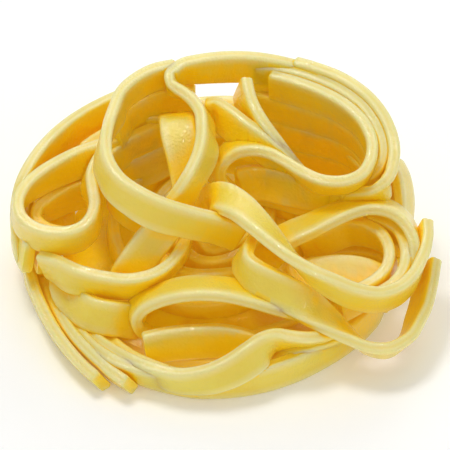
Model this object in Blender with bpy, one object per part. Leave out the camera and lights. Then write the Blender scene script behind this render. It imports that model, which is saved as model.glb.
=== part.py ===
# A nest of flat ribbon pasta: long ribbons laid in loops and coils, with hidden turns under them.
#
# Frame: +Z up, the nest rests on z = 0, the front that is seen best faces -Y, +X is its right.
# A seen ribbon is given by waypoints (across, rise, height, roll), in mm and degrees:
#   across  to the right of the middle
#   rise    upwards in a view from the front that looks down by VIEW_DOWN
#   height  above the table, which fixes how near the point is to the viewer
#   roll    turns the ribbon about its own length: at 0 its face looks at the viewer, at 90 its rim does
import math
import random

import bmesh
import bpy
import numpy as np

MM = 0.001
VIEW_DOWN = math.radians(43.0)

# Ribbon section: an egg fettuccina swollen by cooking.
RIBBON_WIDE = 6.2
RIBBON_THICK = 2.05
STEP_SEEN = 3.2
STEP_HIDDEN = 4.8

# Middle of the finished outline, so that the frame's origin is under it.
MIDDLE_X = 0.22
MIDDLE_Y = -0.96

SEED = 43

# The rim that is given by "rim" ribbons is their upper edge, "mid" ribbons are given by their middle.
RIBBONS = {
    "hoop": ("rim", [
        (-8.4, 34.6, 33, 127), (-12.3, 33.7, 33, 125), (-15.5, 31.9, 33, 119), (-17.7, 29.7, 32.8, 112),
        (-18.8, 27, 32.4, 103), (-19.6, 24.2, 32, 90), (-19.9, 21, 31.5, 75), (-19.3, 18, 31, 62),
        (-17.3, 15.3, 30, 46), (-14, 13.1, 29, 36), (-10, 11.3, 27.5, 28), (-5, 9.7, 25, 36), (0, 8.4, 22.5, 40),
        (4, 7, 20.5, 40),
    ]),
    "under_hoop": ("rim", [
        (-20.2, 18.5, 23, 90), (-19.6, 15.8, 22.5, 84), (-17.9, 13.2, 21.8, 56), (-15.3, 11.5, 21, 42),
        (-12.5, 10.3, 20, 36), (-9, 9.2, 18.5, 32),
    ]),
    "s_strand": ("rim", [
        (15.5, 33.6, 29.5, 137), (10, 35.1, 31.5, 137), (5, 35.9, 32.5, 137), (0, 36, 33.3, 137),
        (-4.5, 35.4, 33.4, 130), (-7.5, 34.5, 33.2, 119), (-9.5, 32.5, 32.6, 106), (-9, 30.6, 32, 97),
        (-7, 29.3, 31.5, 90), (-5.6, 28.1, 31.2, 88), (-4.4, 26.2, 31, 97), (-4.2, 23.8, 30.8, 112),
        (-4.4, 21.1, 30.4, 118), (-5.2, 18.3, 29.6, 118), (-6.9, 15, 28, 118), (-9.4, 11.5, 25, 125),
        (-12.5, 8.2, 21.5, 150), (-15.3, 5.2, 18.5, 165), (-17.8, 1.8, 15, 170), (-19.5, -0.9, 12, 172),
    ]),
    "coil_inner": ("rim", [
        (7.6, 32.9, 30, 50), (11, 32, 30, 50), (15.5, 30.4, 29.8, 54), (20, 28, 29.3, 62), (23.3, 24.9, 28.5, 72),
        (24.8, 21.5, 27.5, 84), (24.6, 18.3, 26.8, 95), (23, 15.8, 26.2, 103), (20.2, 14.6, 26, 106),
        (16.5, 14.7, 26, 107), (13, 16.1, 26, 103), (10, 17.8, 26, 95), (7, 19.1, 26, 83), (4, 19.3, 25.5, 72),
        (1.5, 18.6, 24.5, 70), (-0.2, 17, 23, 74), (-0.7, 15.2, 21, 80), (0.3, 13.3, 18.5, 90), (2.5, 11.8, 16, 100),
    ]),
    "coil_middle": ("rim", [
        (4.9, 34.4, 30.5, 48), (9, 34, 30.5, 48), (14, 32.8, 30.5, 50), (19.5, 30.4, 30, 56), (23.7, 27.1, 29, 64),
        (26.1, 23.2, 27.5, 74), (26.9, 19.8, 26, 82), (26.2, 17, 24.5, 88), (24.3, 15.3, 23, 103), (21, 14.6, 22, 123),
        (17, 14.8, 21.5, 145), (12, 15.8, 21, 155), (7, 17, 20.5, 160), (3.5, 17, 20, 160), (1.8, 16.6, 19.4, 160),
    ]),
    "coil_outer": ("rim", [
        (11.8, 35.1, 31.5, 50), (15, 34.2, 31.5, 50), (20, 32.2, 31, 55), (24.5, 28.9, 30, 62), (27.3, 25, 28.5, 72),
        (28.6, 20.8, 27, 82), (28.5, 17.6, 25.8, 84), (27.6, 15, 24.6, 88), (25.4, 13.3, 23.2, 101),
        (22, 12.8, 21.5, 121), (18, 13.2, 19.8, 141), (14, 14.3, 18.4, 156), (9, 15.8, 17.3, 162),
        (4, 16.9, 16.3, 165), (1.6, 16.8, 15.8, 165),
    ]),
    "spoke_right": ("rim", [
        (3.8, 32.2, 31.5, 68), (4.2, 30, 31, 68), (5.1, 27.3, 30, 68), (6.8, 24.4, 28.5, 66), (9, 21.5, 26.5, 62),
        (11.5, 18.3, 24, 56), (14, 15.5, 22, 50),
    ]),
    "spoke_left": ("rim", [
        (-3.5, 28.1, 28, 40), (-1.3, 28.2, 28.6, 40), (1.2, 26.8, 28.8, 40), (3.8, 24.8, 28.4, 40),
        (6.4, 23, 27.6, 42), (8.6, 21.3, 26.4, 45), (10.6, 19.4, 25, 48), (13, 16.6, 22.6, 50),
    ]),
    "cross_strand": ("mid", [
        (-3.2, 8.5, 17, 150), (-2.2, 10.8, 20.5, 150), (-0.3, 11.3, 23, 146), (2.5, 9.9, 24, 136),
        (5.5, 7.2, 23.7, 124), (8.3, 4.3, 22.8, 110), (11, 1.6, 21.5, 95), (14, -0.8, 20, 78), (17.5, -3, 18, 62),
        (21.5, -4.9, 16, 56), (25.5, -5.6, 14.5, 58), (29, -4.6, 13.5, 66), (31.6, -2.2, 13.2, 80), (33, 1.2, 13.5, 98),
        (33.4, 4, 13.9, 108), (33.4, 6.4, 14.3, 110),
    ]),
    "low_right_loop": ("mid", [
        (10, 1, 13, 325), (7, 3, 15, 320), (4.9, 3.9, 17, 300), (3.4, 2.6, 18, 262), (3.3, 0.2, 18.2, 238),
        (5.2, -1.8, 17.6, 215), (9, -3.9, 15.8, 193), (13, -6.2, 13.2, 165), (17, -8.9, 10.6, 130),
        (20.5, -11.5, 8.6, 105), (24, -13.7, 7, 85), (27.5, -14.1, 6.2, 80), (30.6, -12.2, 6.2, 95),
        (32.5, -8.3, 7, 112), (33.7, -4, 8.2, 116), (34.4, 0.3, 9.5, 118),
    ]),
    "right_arch": ("rim", [
        (9, 2.3, 16, 125), (12, 3.9, 17.5, 124), (15, 5.3, 18.5, 122), (18.5, 7.2, 19.5, 118), (22, 8.8, 20, 112),
        (25, 9.4, 20, 108), (28, 8.8, 19.5, 103), (30.3, 7, 18.5, 97), (31.8, 4.2, 17, 90), (32, 1, 15, 85),
        (31, -1.8, 13.5, 80), (28.8, -4, 12.5, 70),
    ]),
    "right_inner": ("rim", [
        (12, 5, 13, 43), (16, 6.5, 14.5, 43), (20, 8, 15.5, 45), (22.5, 8, 16, 50), (24.5, 7.2, 16, 62),
        (26.4, 5.8, 16, 75), (27.5, 3.8, 15.8, 86), (27.7, 1.5, 15.3, 92), (26.8, -0.6, 14.8, 105),
        (24.8, -2.2, 14.2, 118), (22, -3.6, 13.5, 128), (19, -5, 13, 132),
    ]),
    "right_second": ("rim", [
        (24, 9, 16.3, 60), (27.5, 7.6, 16.5, 70), (29.3, 6.2, 16.3, 80), (30.3, 4, 16, 88), (30.5, 1.6, 15.5, 92),
        (29.8, -0.8, 15, 102), (28.2, -2.6, 14.3, 115), (25.5, -4.2, 13.5, 125),
    ]),
    "right_flat": ("mid", [
        (11, -2.6, 10.6, 165), (15, -1.6, 11.4, 165), (19, -1.1, 11.4, 165), (23, -1.5, 10.9, 165),
        (26.6, -3, 10, 165),
    ]),
    "right_deep": ("mid", [
        (9, 1.5, 7, 150), (15, 3.4, 7.6, 150), (21, 4.4, 7.6, 150), (27, 3.4, 7, 150), (30, 1.2, 6.4, 150),
    ]),
    "right_lining": ("mid", [
        (2.5, 4.6, 8.4, 160), (6.4, 2.4, 9, 160), (10, 0, 9.2, 160), (13.5, -2.6, 8.8, 160),
    ]),
    "right_fill": ("rim", [
        (2.5, 12.4, 12, 43), (7, 11.6, 12.5, 43), (11, 10.6, 12.5, 43), (14.5, 9.4, 12, 45),
    ]),
    "right_back": ("mid", [
        (28.5, 18, 17, 105), (29.8, 15, 15.5, 108), (30.3, 12, 14, 110), (30.3, 9, 13, 108), (30, 6, 12, 105),
    ]),
    "left_loop": ("rim", [
        (-18, 22.3, 22.5, 140), (-21.8, 21, 22.5, 140), (-25, 19.9, 22.5, 138), (-28.5, 18.1, 22, 130),
        (-31.5, 16.1, 21.5, 120), (-33.9, 13.6, 21, 103), (-34.9, 10.9, 20.5, 89), (-34.2, 8.5, 20, 73),
        (-32, 6.9, 19.7, 59), (-28.3, 6.2, 19.5, 52), (-25, 6.7, 19.7, 54), (-23, 8.2, 20, 66), (-22.1, 10.5, 20.5, 82),
        (-22.3, 13.2, 21, 95), (-22.5, 15.5, 21.5, 95), (-21.6, 18, 22, 88), (-20, 20, 22, 85),
    ]),
    "left_back": ("rim", [
        (-17, 30, 24.5, 140), (-20.5, 28.5, 24.5, 140), (-24, 26.6, 24, 135), (-27.5, 24.1, 23.5, 128),
        (-30.5, 21.2, 22.5, 122), (-33, 17.7, 21.3, 112), (-34.6, 14.3, 19.6, 104), (-35.3, 11, 17.4, 98),
        (-35.4, 7.5, 14.8, 94), (-35, 4, 12.2, 92), (-34.4, 0.8, 10, 90),
    ]),
    "left_inner": ("rim", [
        (-21, 15.8, 16.5, 140), (-23.5, 15, 16.5, 138), (-27, 13.6, 16, 130), (-30, 11.7, 15.5, 118),
        (-31.8, 9.9, 15, 98), (-31.7, 8, 14.5, 75), (-30, 6.8, 14, 60), (-27, 6.2, 14, 50),
    ]),
    "left_floor": ("mid", [
        (-34, 10.5, 8, 20), (-31, 9, 8, 10), (-28, 8.4, 8, 8), (-25.5, 8.6, 8, 8),
    ]),
    "left_swag": ("rim", [
        (-31.6, 2.4, 13.2, 58), (-28, 1.4, 14, 46), (-24.5, -0.2, 14.5, 50), (-20.5, -1.3, 15, 56),
        (-16, -1.8, 15.5, 62), (-12, -1, 16, 70), (-9.2, 0.8, 16.5, 78), (-7.4, 3.2, 17, 84),
        (-6.5, 6, 17.5, 88), (-6.2, 9, 18, 90),
    ]),
    "left_low": ("rim", [
        (-22.6, -1, 8.4, 45), (-23.9, -2.4, 9.1, 40), (-23.4, -4, 10, 32), (-21.8, -5.2, 10.7, 22),
        (-19.5, -5.7, 10.6, 16), (-16.5, -6, 9.6, 14), (-13, -6.8, 8.2, 12),
    ]),
    "front_arch": ("rim", [
        (-10, -12.2, 5.5, 60), (-12.8, -12, 6, 70), (-14.4, -10.8, 7.5, 85), (-14.8, -9.2, 9.6, 95),
        (-13.7, -7.6, 12, 108), (-11, -6.3, 14, 116), (-7, -5.4, 15.3, 120), (-3, -5.2, 15.8, 120),
        (1, -5.6, 15.5, 120), (5, -6.6, 14.5, 120), (9, -7.8, 13, 120), (13, -8.8, 11.5, 120),
    ]),
    "front_flat": ("rim", [
        (-14, -11.3, 9, 30), (-10, -10.4, 9.3, 28), (-5, -9.9, 9.4, 26), (0, -9.9, 9.3, 26), (4, -10.8, 8.8, 26),
        (7, -12, 8, 26),
    ]),
    "front_twist": ("rim", [
        (-25, -8, 5.2, 84), (-22.3, -11.5, 5.4, 82), (-19, -13.8, 6.2, 78), (-15, -15.8, 7.1, 72),
        (-11, -17.1, 7.4, 64), (-7.5, -17.6, 7.6, 56), (-3.5, -16.9, 8.5, 44), (0, -15.3, 9.8, 35),
        (3.5, -12.9, 11.3, 32), (6, -11.4, 12, 42), (8.5, -10.9, 12, 55), (11, -11.4, 11.4, 68),
        (14, -11.8, 10.6, 78), (17, -11.4, 9.4, 80), (18.6, -10.9, 8.6, 80),
    ]),
    "front_under": ("rim", [
        (4, -15.8, 3.8, 60), (7, -15, 4.6, 62), (10, -14.4, 6.2, 66), (13, -13.7, 6.8, 70), (16, -12.8, 7, 74),
        (19, -11.7, 6.9, 78), (20.5, -10.9, 6.6, 78),
    ]),
    "side_inner": ("rim", [
        (-22, -9, 4.6, 80), (-19, -12.4, 4.8, 75), (-15.5, -14.8, 5.5, 64), (-12, -16.3, 5.8, 55),
        (-9.5, -17.1, 5.6, 50),
    ]),
    "side_outer": ("rim", [
        (-33.6, 2.6, 7, 88), (-33, -1, 6.5, 88), (-31.6, -5.2, 6, 88), (-29.4, -9.6, 5.6, 88),
        (-27, -13.2, 5.3, 88), (-24.4, -16.2, 5, 88), (-22.2, -18.2, 5, 88),
    ]),
    "side_second": ("rim", [
        (-30.8, -1.5, 5.2, 86), (-28.6, -6.8, 5.3, 86), (-25.6, -11.4, 5.8, 86), (-22, -15.2, 5.8, 86),
        (-19.2, -17.6, 5.4, 86), (-17, -19.1, 5.2, 86),
    ]),
    "bottom_ring": ("rim", [
        (-28.5, -4.4, 5, 84), (-26, -9, 5.1, 84), (-23, -12.6, 5.7, 82), (-19.5, -15.2, 6.4, 78),
        (-15, -16.9, 6.4, 70), (-10, -17.6, 6.3, 60), (-5, -17.9, 6.3, 52), (0, -17.6, 6.3, 48),
        (5, -16.9, 6.3, 48), (10, -15.4, 6.3, 48), (15, -13.2, 6.3, 50), (20, -10.2, 6.3, 54),
        (24, -6.6, 6.3, 60), (27, -2.3, 6.3, 72),
    ]),
    "upright_fold": ("mid", [
        (-5.7, 12, 20, 5), (-6.3, 16, 23, 5), (-7.1, 19.6, 25.6, 5), (-7.8, 22.3, 27.1, 3), (-8, 24, 27.4, 0),
        (-8.1, 24.9, 26.2, 0), (-8.2, 24.8, 24.2, 0),
    ]),
    "hoop_back": ("rim", [
        (-19, 24, 26, 60), (-17, 27, 26.5, 55), (-13.5, 29.3, 27, 45), (-9, 30.5, 27, 43), (-5, 30.5, 27, 43),
    ]),
    "hoop_lower": ("rim", [
        (-18, 24.3, 22, 50), (-16, 25.5, 22.5, 45), (-12, 25.8, 22.5, 43), (-8, 25.5, 22, 43),
    ]),
    "deep_first": ("rim", [(-20, 19.5, 21, 55), (-16.8, 21.9, 21.5, 50), (-13, 23.7, 21.5, 48), (-9.5, 25.3, 21, 45)]),
    "deep_second": ("rim", [
        (-19.5, 17.2, 16, 40), (-16.5, 18.2, 16.5, 35), (-14, 19.2, 16.5, 32), (-11, 20.8, 16.5, 30),
        (-7.5, 22.5, 16, 30),
    ]),
    "deep_third": ("rim", [(-18, 13.5, 13, 45), (-15, 15.3, 13, 45), (-12.5, 17.3, 13, 45), (-10, 19.3, 13, 45)]),
}

# Turns that lie flush under a seen ribbon, that close the hollows of the loops: (the ribbon, its first and last
# waypoint that count, how many widths lower, how far to its right, how far the start is drawn out)
LOWER_TURNS = (
    ("coil_inner", 0, 9, 0.95, -0.12, 3.0),
    ("coil_inner", 0, 9, 1.9, 0.15, 4.0),
    ("coil_inner", 0, 9, 2.84, 0.02, 2.0),
    ("coil_middle", 0, 4, 0.95, -0.14, 0.0),
    ("s_strand", 6, 9, 0.95, -0.12, 0.0),
)

# Hidden turns of the nest, as parts of uneven rings that stand on edge. Angles run anticlockwise seen
# from above, from +X: (rim height at the start and end, radius across, radius deep, middle across,
# middle deep, from degrees, to degrees, lean inwards)
HIDDEN_TURNS = (
    (6.2, 6.2, 30.5, 32.0, -1.5, 0.5, -20.0, 194.0, 3.0),
    (6.3, 6.3, 24.0, 26.5, -1.5, 0.0, -40.0, 150.0, 0.0),
    (10.6, 12.6, 30.6, 30.0, -1.5, -1.5, -8.0, 196.0, 8.0),
    (17.0, 15.6, 28.8, 26.4, -2.0, -3.0, 5.0, 142.0, 14.0),
    (21.6, 20.6, 26.0, 22.0, -2.0, -4.0, 62.0, 148.0, 20.0),
    (8.2, 15.0, 32.6, 32.8, -0.8, -1.5, 98.0, 196.0, 12.0),
    (8.6, 15.8, 31.0, 31.6, -1.5, -1.5, 84.0, 14.0, 12.0),
)
TURN_WOBBLE = 0.8
TURN_SWAY = 0.5

CORE_LEVELS = ((0.0, 26.5), (4.0, 27.5), (6.5, 24.0), (9.0, 17.0), (10.5, 9.0))
CORE_SIDES = 20
CORE_DEEP_SHARE = 0.98


def clear_scene():
    for thing in list(bpy.data.objects):
        bpy.data.objects.remove(thing)


def place(across, rise, height):
    """The point that the view shows at (across, rise), at this height above the table."""
    return np.array([across, (rise - height * math.cos(VIEW_DOWN)) / math.sin(VIEW_DOWN), height])


def spline(rows, step):
    """A centripetal Catmull-Rom curve through rows whose first three numbers are a point."""
    rows = np.asarray(rows, float)
    rows = np.vstack([2 * rows[0] - rows[1], rows, 2 * rows[-1] - rows[-2]])
    found = []
    for first in range(len(rows) - 3):
        a, b, c, d = rows[first:first + 4]
        knots = [0.0]
        for start, end in ((a, b), (b, c), (c, d)):
            knots.append(knots[-1] + math.sqrt(max(np.linalg.norm(end[:3] - start[:3]), 1e-6)))
        t0, t1, t2, t3 = knots
        count = max(1, round(float(np.linalg.norm(c[:3] - b[:3])) / step))
        for k in range(count):
            t = t1 + (t2 - t1) * k / count
            ab = ((t1 - t) * a + (t - t0) * b) / (t1 - t0)
            bc = ((t2 - t) * b + (t - t1) * c) / (t2 - t1)
            cd = ((t3 - t) * c + (t - t2) * d) / (t3 - t2)
            low = ((t2 - t) * ab + (t - t0) * bc) / (t2 - t0)
            high = ((t3 - t) * bc + (t - t1) * cd) / (t3 - t1)
            found.append(((t2 - t) * low + (t - t1) * high) / (t2 - t1))
    found.append(rows[-2])
    return np.array(found)


def unit(vectors):
    return vectors / np.linalg.norm(vectors, axis=-1, keepdims=True)


def across_directions(ways, rolls):
    """The direction of the ribbon's width at each point of its path, from the path's way and the roll."""
    right = np.array([1.0, 0.0, 0.0])
    up = np.array([0.0, math.sin(VIEW_DOWN), math.cos(VIEW_DOWN)])
    near = np.array([0.0, -math.cos(VIEW_DOWN), math.sin(VIEW_DOWN)])
    found = []
    for way, roll in zip(ways, np.radians(rolls)):
        side = -(way @ up) * right + (way @ right) * up
        if np.linalg.norm(side) < 0.15 and found:
            found.append(found[-1])
            continue
        facing = unit(near - (near @ way) * way)
        side = side - (side @ way) * way
        side = unit(side - (side @ facing) * facing)
        found.append(math.cos(roll) * side + math.sin(roll) * facing)
    found = np.array(found)
    return unit(found - (found * ways).sum(1, keepdims=True) * ways)


def seen_path(kind, waypoints, step):
    """Middle points and width directions of a seen ribbon."""
    rows = [(*place(across, rise, height), roll) for across, rise, height, roll in waypoints]
    samples = spline(rows, step)
    points = samples[:, :3]
    wide = across_directions(unit(np.gradient(points, axis=0)), samples[:, 3])
    if kind == "rim":
        points = points - wide * RIBBON_WIDE / 2
    return points, wide


def lower_path(turn, step):
    """Middle points and width directions of a turn that lies flush under a seen ribbon."""
    name, first, last, widths, right, lead = turn
    kind, waypoints = RIBBONS[name]
    points, wide = seen_path(kind, waypoints[first:last], step)
    ways = unit(np.gradient(points, axis=0))
    points = points - wide * RIBBON_WIDE * widths + np.cross(ways, wide) * right
    if lead:
        points = np.vstack([points[:1] - ways[:1] * lead, points])
        wide = np.vstack([wide[:1], wide])
    return points, wide


def hidden_path(turn, draw):
    """Middle points and width directions of a hidden turn, a little uneven."""
    low, high, radius_x, radius_y, middle_x, middle_y, start, end, lean = turn
    tilt = math.radians(lean)
    count = max(4, round(math.radians(abs(end - start)) * radius_x / STEP_HIDDEN))
    phase = draw.uniform(0.0, math.tau)
    points = []
    wide = []
    for k in range(count + 1):
        share = k / count
        angle = math.radians(start + (end - start) * share)
        out = np.array([math.cos(angle), math.sin(angle), 0.0])
        swell = TURN_WOBBLE * math.sin(3.0 * angle + phase)
        sway = TURN_SWAY * math.sin(4.0 * angle + phase) if low > RIBBON_WIDE + 0.5 else 0.0
        top = low + (high - low) * share + sway
        rim = np.array([middle_x + (radius_x + swell) * out[0], middle_y + (radius_y + swell) * out[1], top])
        width = math.cos(tilt) * np.array([0.0, 0.0, 1.0]) - math.sin(tilt) * out
        points.append(rim - width * RIBBON_WIDE / 2)
        wide.append(width)
    return np.array(points), np.array(wide)


def ribbon_mesh(name, points, wide):
    """A closed ribbon with a rectangular section, swept along its middle points."""
    ways = unit(np.gradient(points, axis=0))
    wide = unit(wide - (wide * ways).sum(1, keepdims=True) * ways)
    thick = np.cross(ways, wide)
    corners = ((1, 1), (-1, 1), (-1, -1), (1, -1))
    rings = [points + u * RIBBON_WIDE / 2 * wide + s * RIBBON_THICK / 2 * thick for u, s in corners]
    spots = np.stack(rings, axis=1).reshape(-1, 3)
    spots[:, 2] = np.maximum(spots[:, 2], 0.02)
    faces = [(3, 2, 1, 0)]
    for k in range(len(points) - 1):
        for side in range(4):
            after = (side + 1) % 4
            faces.append((4 * k + side, 4 * k + after, 4 * k + 4 + after, 4 * k + 4 + side))
    last = 4 * (len(points) - 1)
    faces.append((last, last + 1, last + 2, last + 3))
    return add_mesh(name, spots, faces)


def core_mesh():
    """A low, uneven mound with a flat foot, under the ribbons."""
    draw = random.Random(SEED)
    lumps = [draw.uniform(-0.8, 0.8) for _ in range(CORE_SIDES)]
    spots = []
    for height, radius in CORE_LEVELS:
        for side in range(CORE_SIDES):
            angle = math.tau * side / CORE_SIDES
            reach = radius + lumps[side]
            spots.append((-1.0 + reach * math.cos(angle), -1.0 + CORE_DEEP_SHARE * reach * math.sin(angle), height))
    faces = [tuple(reversed(range(CORE_SIDES)))]
    for level in range(len(CORE_LEVELS) - 1):
        low = level * CORE_SIDES
        for side in range(CORE_SIDES):
            after = (side + 1) % CORE_SIDES
            faces.append((low + side, low + after, low + CORE_SIDES + after, low + CORE_SIDES + side))
    top = (len(CORE_LEVELS) - 1) * CORE_SIDES
    faces.append(tuple(range(top, top + CORE_SIDES)))
    return add_mesh("core", spots, faces)


def add_mesh(name, spots, faces):
    mesh = bpy.data.meshes.new(name)
    moved = [((x - MIDDLE_X) * MM, (y - MIDDLE_Y) * MM, z * MM) for x, y, z in spots]
    mesh.from_pydata(moved, [], faces)
    mesh.validate()
    thing = bpy.data.objects.new(name, mesh)
    return thing


def keep_largest_piece(thing):
    """Drops loose scraps, and fills hollows that the union sealed, by keeping one connected surface."""
    mesh = bmesh.new()
    mesh.from_mesh(thing.data)
    bmesh.ops.triangulate(mesh, faces=mesh.faces[:])
    left = set(mesh.faces)
    pieces = []
    while left:
        piece = set()
        open_faces = [left.pop()]
        while open_faces:
            face = open_faces.pop()
            piece.add(face)
            for edge in face.edges:
                for other in edge.link_faces if len(edge.link_faces) == 2 else ():
                    if other in left:
                        left.discard(other)
                        open_faces.append(other)
        pieces.append(piece)
    pieces.sort(key=len)
    for piece in pieces[:-1]:
        bmesh.ops.delete(mesh, geom=list(piece), context="FACES")
    mesh.to_mesh(thing.data)
    mesh.free()


def pasta_material():
    material = bpy.data.materials.new("cooked_egg_pasta")
    material.use_nodes = True
    shader = material.node_tree.nodes["Principled BSDF"]
    shader.inputs["Base Color"].default_value = (0.83, 0.62, 0.13, 1.0)
    shader.inputs["Roughness"].default_value = 0.38
    shader.inputs["IOR"].default_value = 1.45
    return material


def build():
    clear_scene()
    scene = bpy.context.scene
    nest = core_mesh()
    nest.name = "pasta_nest"
    scene.collection.objects.link(nest)

    bundle = bpy.data.collections.new("ribbons")
    scene.collection.children.link(bundle)
    for name, (kind, waypoints) in RIBBONS.items():
        bundle.objects.link(ribbon_mesh(name, *seen_path(kind, waypoints, STEP_SEEN)))
    for number, turn in enumerate(LOWER_TURNS):
        bundle.objects.link(ribbon_mesh(f"lower_{number}", *lower_path(turn, STEP_HIDDEN)))
    draw = random.Random(SEED)
    for number, turn in enumerate(HIDDEN_TURNS):
        bundle.objects.link(ribbon_mesh(f"turn_{number}", *hidden_path(turn, draw)))

    join = nest.modifiers.new("join", "BOOLEAN")
    join.operation = "UNION"
    join.operand_type = "COLLECTION"
    join.collection = bundle
    join.solver = "MANIFOLD"
    bpy.context.view_layer.objects.active = nest
    nest.select_set(True)
    bpy.ops.object.modifier_apply(modifier=join.name)
    for thing in list(bundle.objects):
        bpy.data.objects.remove(thing)
    bpy.data.collections.remove(bundle)
    keep_largest_piece(nest)

    nest.data.materials.clear()
    nest.data.materials.append(pasta_material())
    corners = np.array([v.co[:] for v in nest.data.vertices]) / MM
    print("low", corners.min(0).round(2), "high", corners.max(0).round(2), "faces", len(nest.data.polygons))


build()
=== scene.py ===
"""Looks of a nest of flat egg pasta ribbons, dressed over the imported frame.

The nest is modelled ribbon by ribbon. A ribbon that shows is given by waypoints in the view from the front,
and the turns hidden under them are worked out by loops. Lengths are in millimetres until a mesh is made.
"""

from __future__ import annotations

import logging
import math
import random
from dataclasses import dataclass, field
from enum import Enum

import bpy
import numpy as np
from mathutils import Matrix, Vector
from mathutils.bvhtree import BVHTree

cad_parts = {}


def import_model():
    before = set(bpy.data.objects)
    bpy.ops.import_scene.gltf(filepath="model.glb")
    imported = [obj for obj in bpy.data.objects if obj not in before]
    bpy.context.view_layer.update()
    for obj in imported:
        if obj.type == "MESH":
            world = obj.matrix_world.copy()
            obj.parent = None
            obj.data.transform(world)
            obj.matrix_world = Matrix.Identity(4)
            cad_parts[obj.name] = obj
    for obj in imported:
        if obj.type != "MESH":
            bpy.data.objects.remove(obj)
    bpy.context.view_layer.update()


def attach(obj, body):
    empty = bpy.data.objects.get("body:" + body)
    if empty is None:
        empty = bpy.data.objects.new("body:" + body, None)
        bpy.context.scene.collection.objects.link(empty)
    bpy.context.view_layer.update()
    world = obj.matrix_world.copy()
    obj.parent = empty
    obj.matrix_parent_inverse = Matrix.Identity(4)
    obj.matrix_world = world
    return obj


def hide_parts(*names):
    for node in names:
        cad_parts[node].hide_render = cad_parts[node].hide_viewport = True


LOG = logging.getLogger("pasta_nest")

MM = 0.001
WIDTH = 6.2
NODE = "pasta_nest"
ROUNDING = 1e-6
WHITE = "FFFFFF"

Piece = bpy.types.Object
Tree = bpy.types.NodeTree
Socket = bpy.types.NodeSocket
Waypoint = tuple[float, float, float, float]
Span = tuple[float, float]


class Line(Enum):
    """Which line of a ribbon its waypoints follow."""

    RIM = "upper rim"
    MIDDLE = "middle of the width"


# Geometry helpers


def unit(vectors: np.ndarray) -> np.ndarray:
    """Returns the vectors scaled to length one, along the last axis."""
    return vectors / np.linalg.norm(vectors, axis=-1, keepdims=True)


def ways_along(points: np.ndarray) -> np.ndarray:
    """Returns the direction of travel at each point of a path."""
    return unit(np.gradient(points, axis=0))


def spline(rows: np.ndarray, step: float) -> np.ndarray:
    """Draws a centripetal Catmull-Rom curve through rows of numbers.

    Args:
        rows: One row for each waypoint, whose first three numbers are its place.
        step: About how far apart the samples lie.

    Returns:
        The sampled rows, from the first waypoint to the last.
    """
    rows = np.vstack([2 * rows[0] - rows[1], rows, 2 * rows[-1] - rows[-2]])
    found = []
    for first in range(len(rows) - 3):
        a, b, c, d = rows[first : first + 4]
        t = [0.0]
        for start, end in ((a, b), (b, c), (c, d)):
            t.append(t[-1] + math.sqrt(max(float(np.linalg.norm(end[:3] - start[:3])), ROUNDING)))
        count = max(1, round(float(np.linalg.norm(c[:3] - b[:3])) / step))
        for k in range(count):
            s = t[1] + (t[2] - t[1]) * k / count
            ab = ((t[1] - s) * a + (s - t[0]) * b) / (t[1] - t[0])
            bc = ((t[2] - s) * b + (s - t[1]) * c) / (t[2] - t[1])
            cd = ((t[3] - s) * c + (s - t[2]) * d) / (t[3] - t[2])
            low = ((t[2] - s) * ab + (s - t[0]) * bc) / (t[2] - t[0])
            high = ((t[3] - s) * bc + (s - t[1]) * cd) / (t[3] - t[1])
            found.append(((t[2] - s) * low + (s - t[1]) * high) / (t[2] - t[1]))
    found.append(rows[-2])
    return np.array(found)


@dataclass(frozen=True)
class FrontView:
    """The view from the front that the waypoints are read in.

    Across runs to the right and rise upwards in the view, both from the point on the table that the
    nest's winding starts from. Height is above the table, so a higher point at the same place in the
    view lies nearer to the viewer.
    """

    down: float = math.radians(43.0)
    middle_x: float = 0.22
    middle_y: float = -0.96

    @property
    def right(self) -> np.ndarray:
        """The direction to the right of the view."""
        return np.array([1.0, 0.0, 0.0])

    @property
    def up(self) -> np.ndarray:
        """The direction upwards in the view."""
        return np.array([0.0, math.sin(self.down), math.cos(self.down)])

    @property
    def near(self) -> np.ndarray:
        """The direction towards the viewer."""
        return np.array([0.0, -math.cos(self.down), math.sin(self.down)])

    def place(self, across: float, rise: float, height: float) -> np.ndarray:
        """Returns the point in space that the view shows at (across, rise), at this height."""
        deep = (rise - height * math.cos(self.down)) / math.sin(self.down)
        return np.array([across, deep, height])

    def to_frame(self, points: np.ndarray) -> np.ndarray:
        """Returns points moved so that the frame's origin is under the middle of the nest."""
        return points - np.array([self.middle_x, self.middle_y, 0.0])


VIEW = FrontView()


@dataclass(frozen=True)
class Route:
    """A ribbon's course: the middle of its width at each step, and the direction of its width."""

    points: np.ndarray
    wide: np.ndarray


# Ribbons


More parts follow.
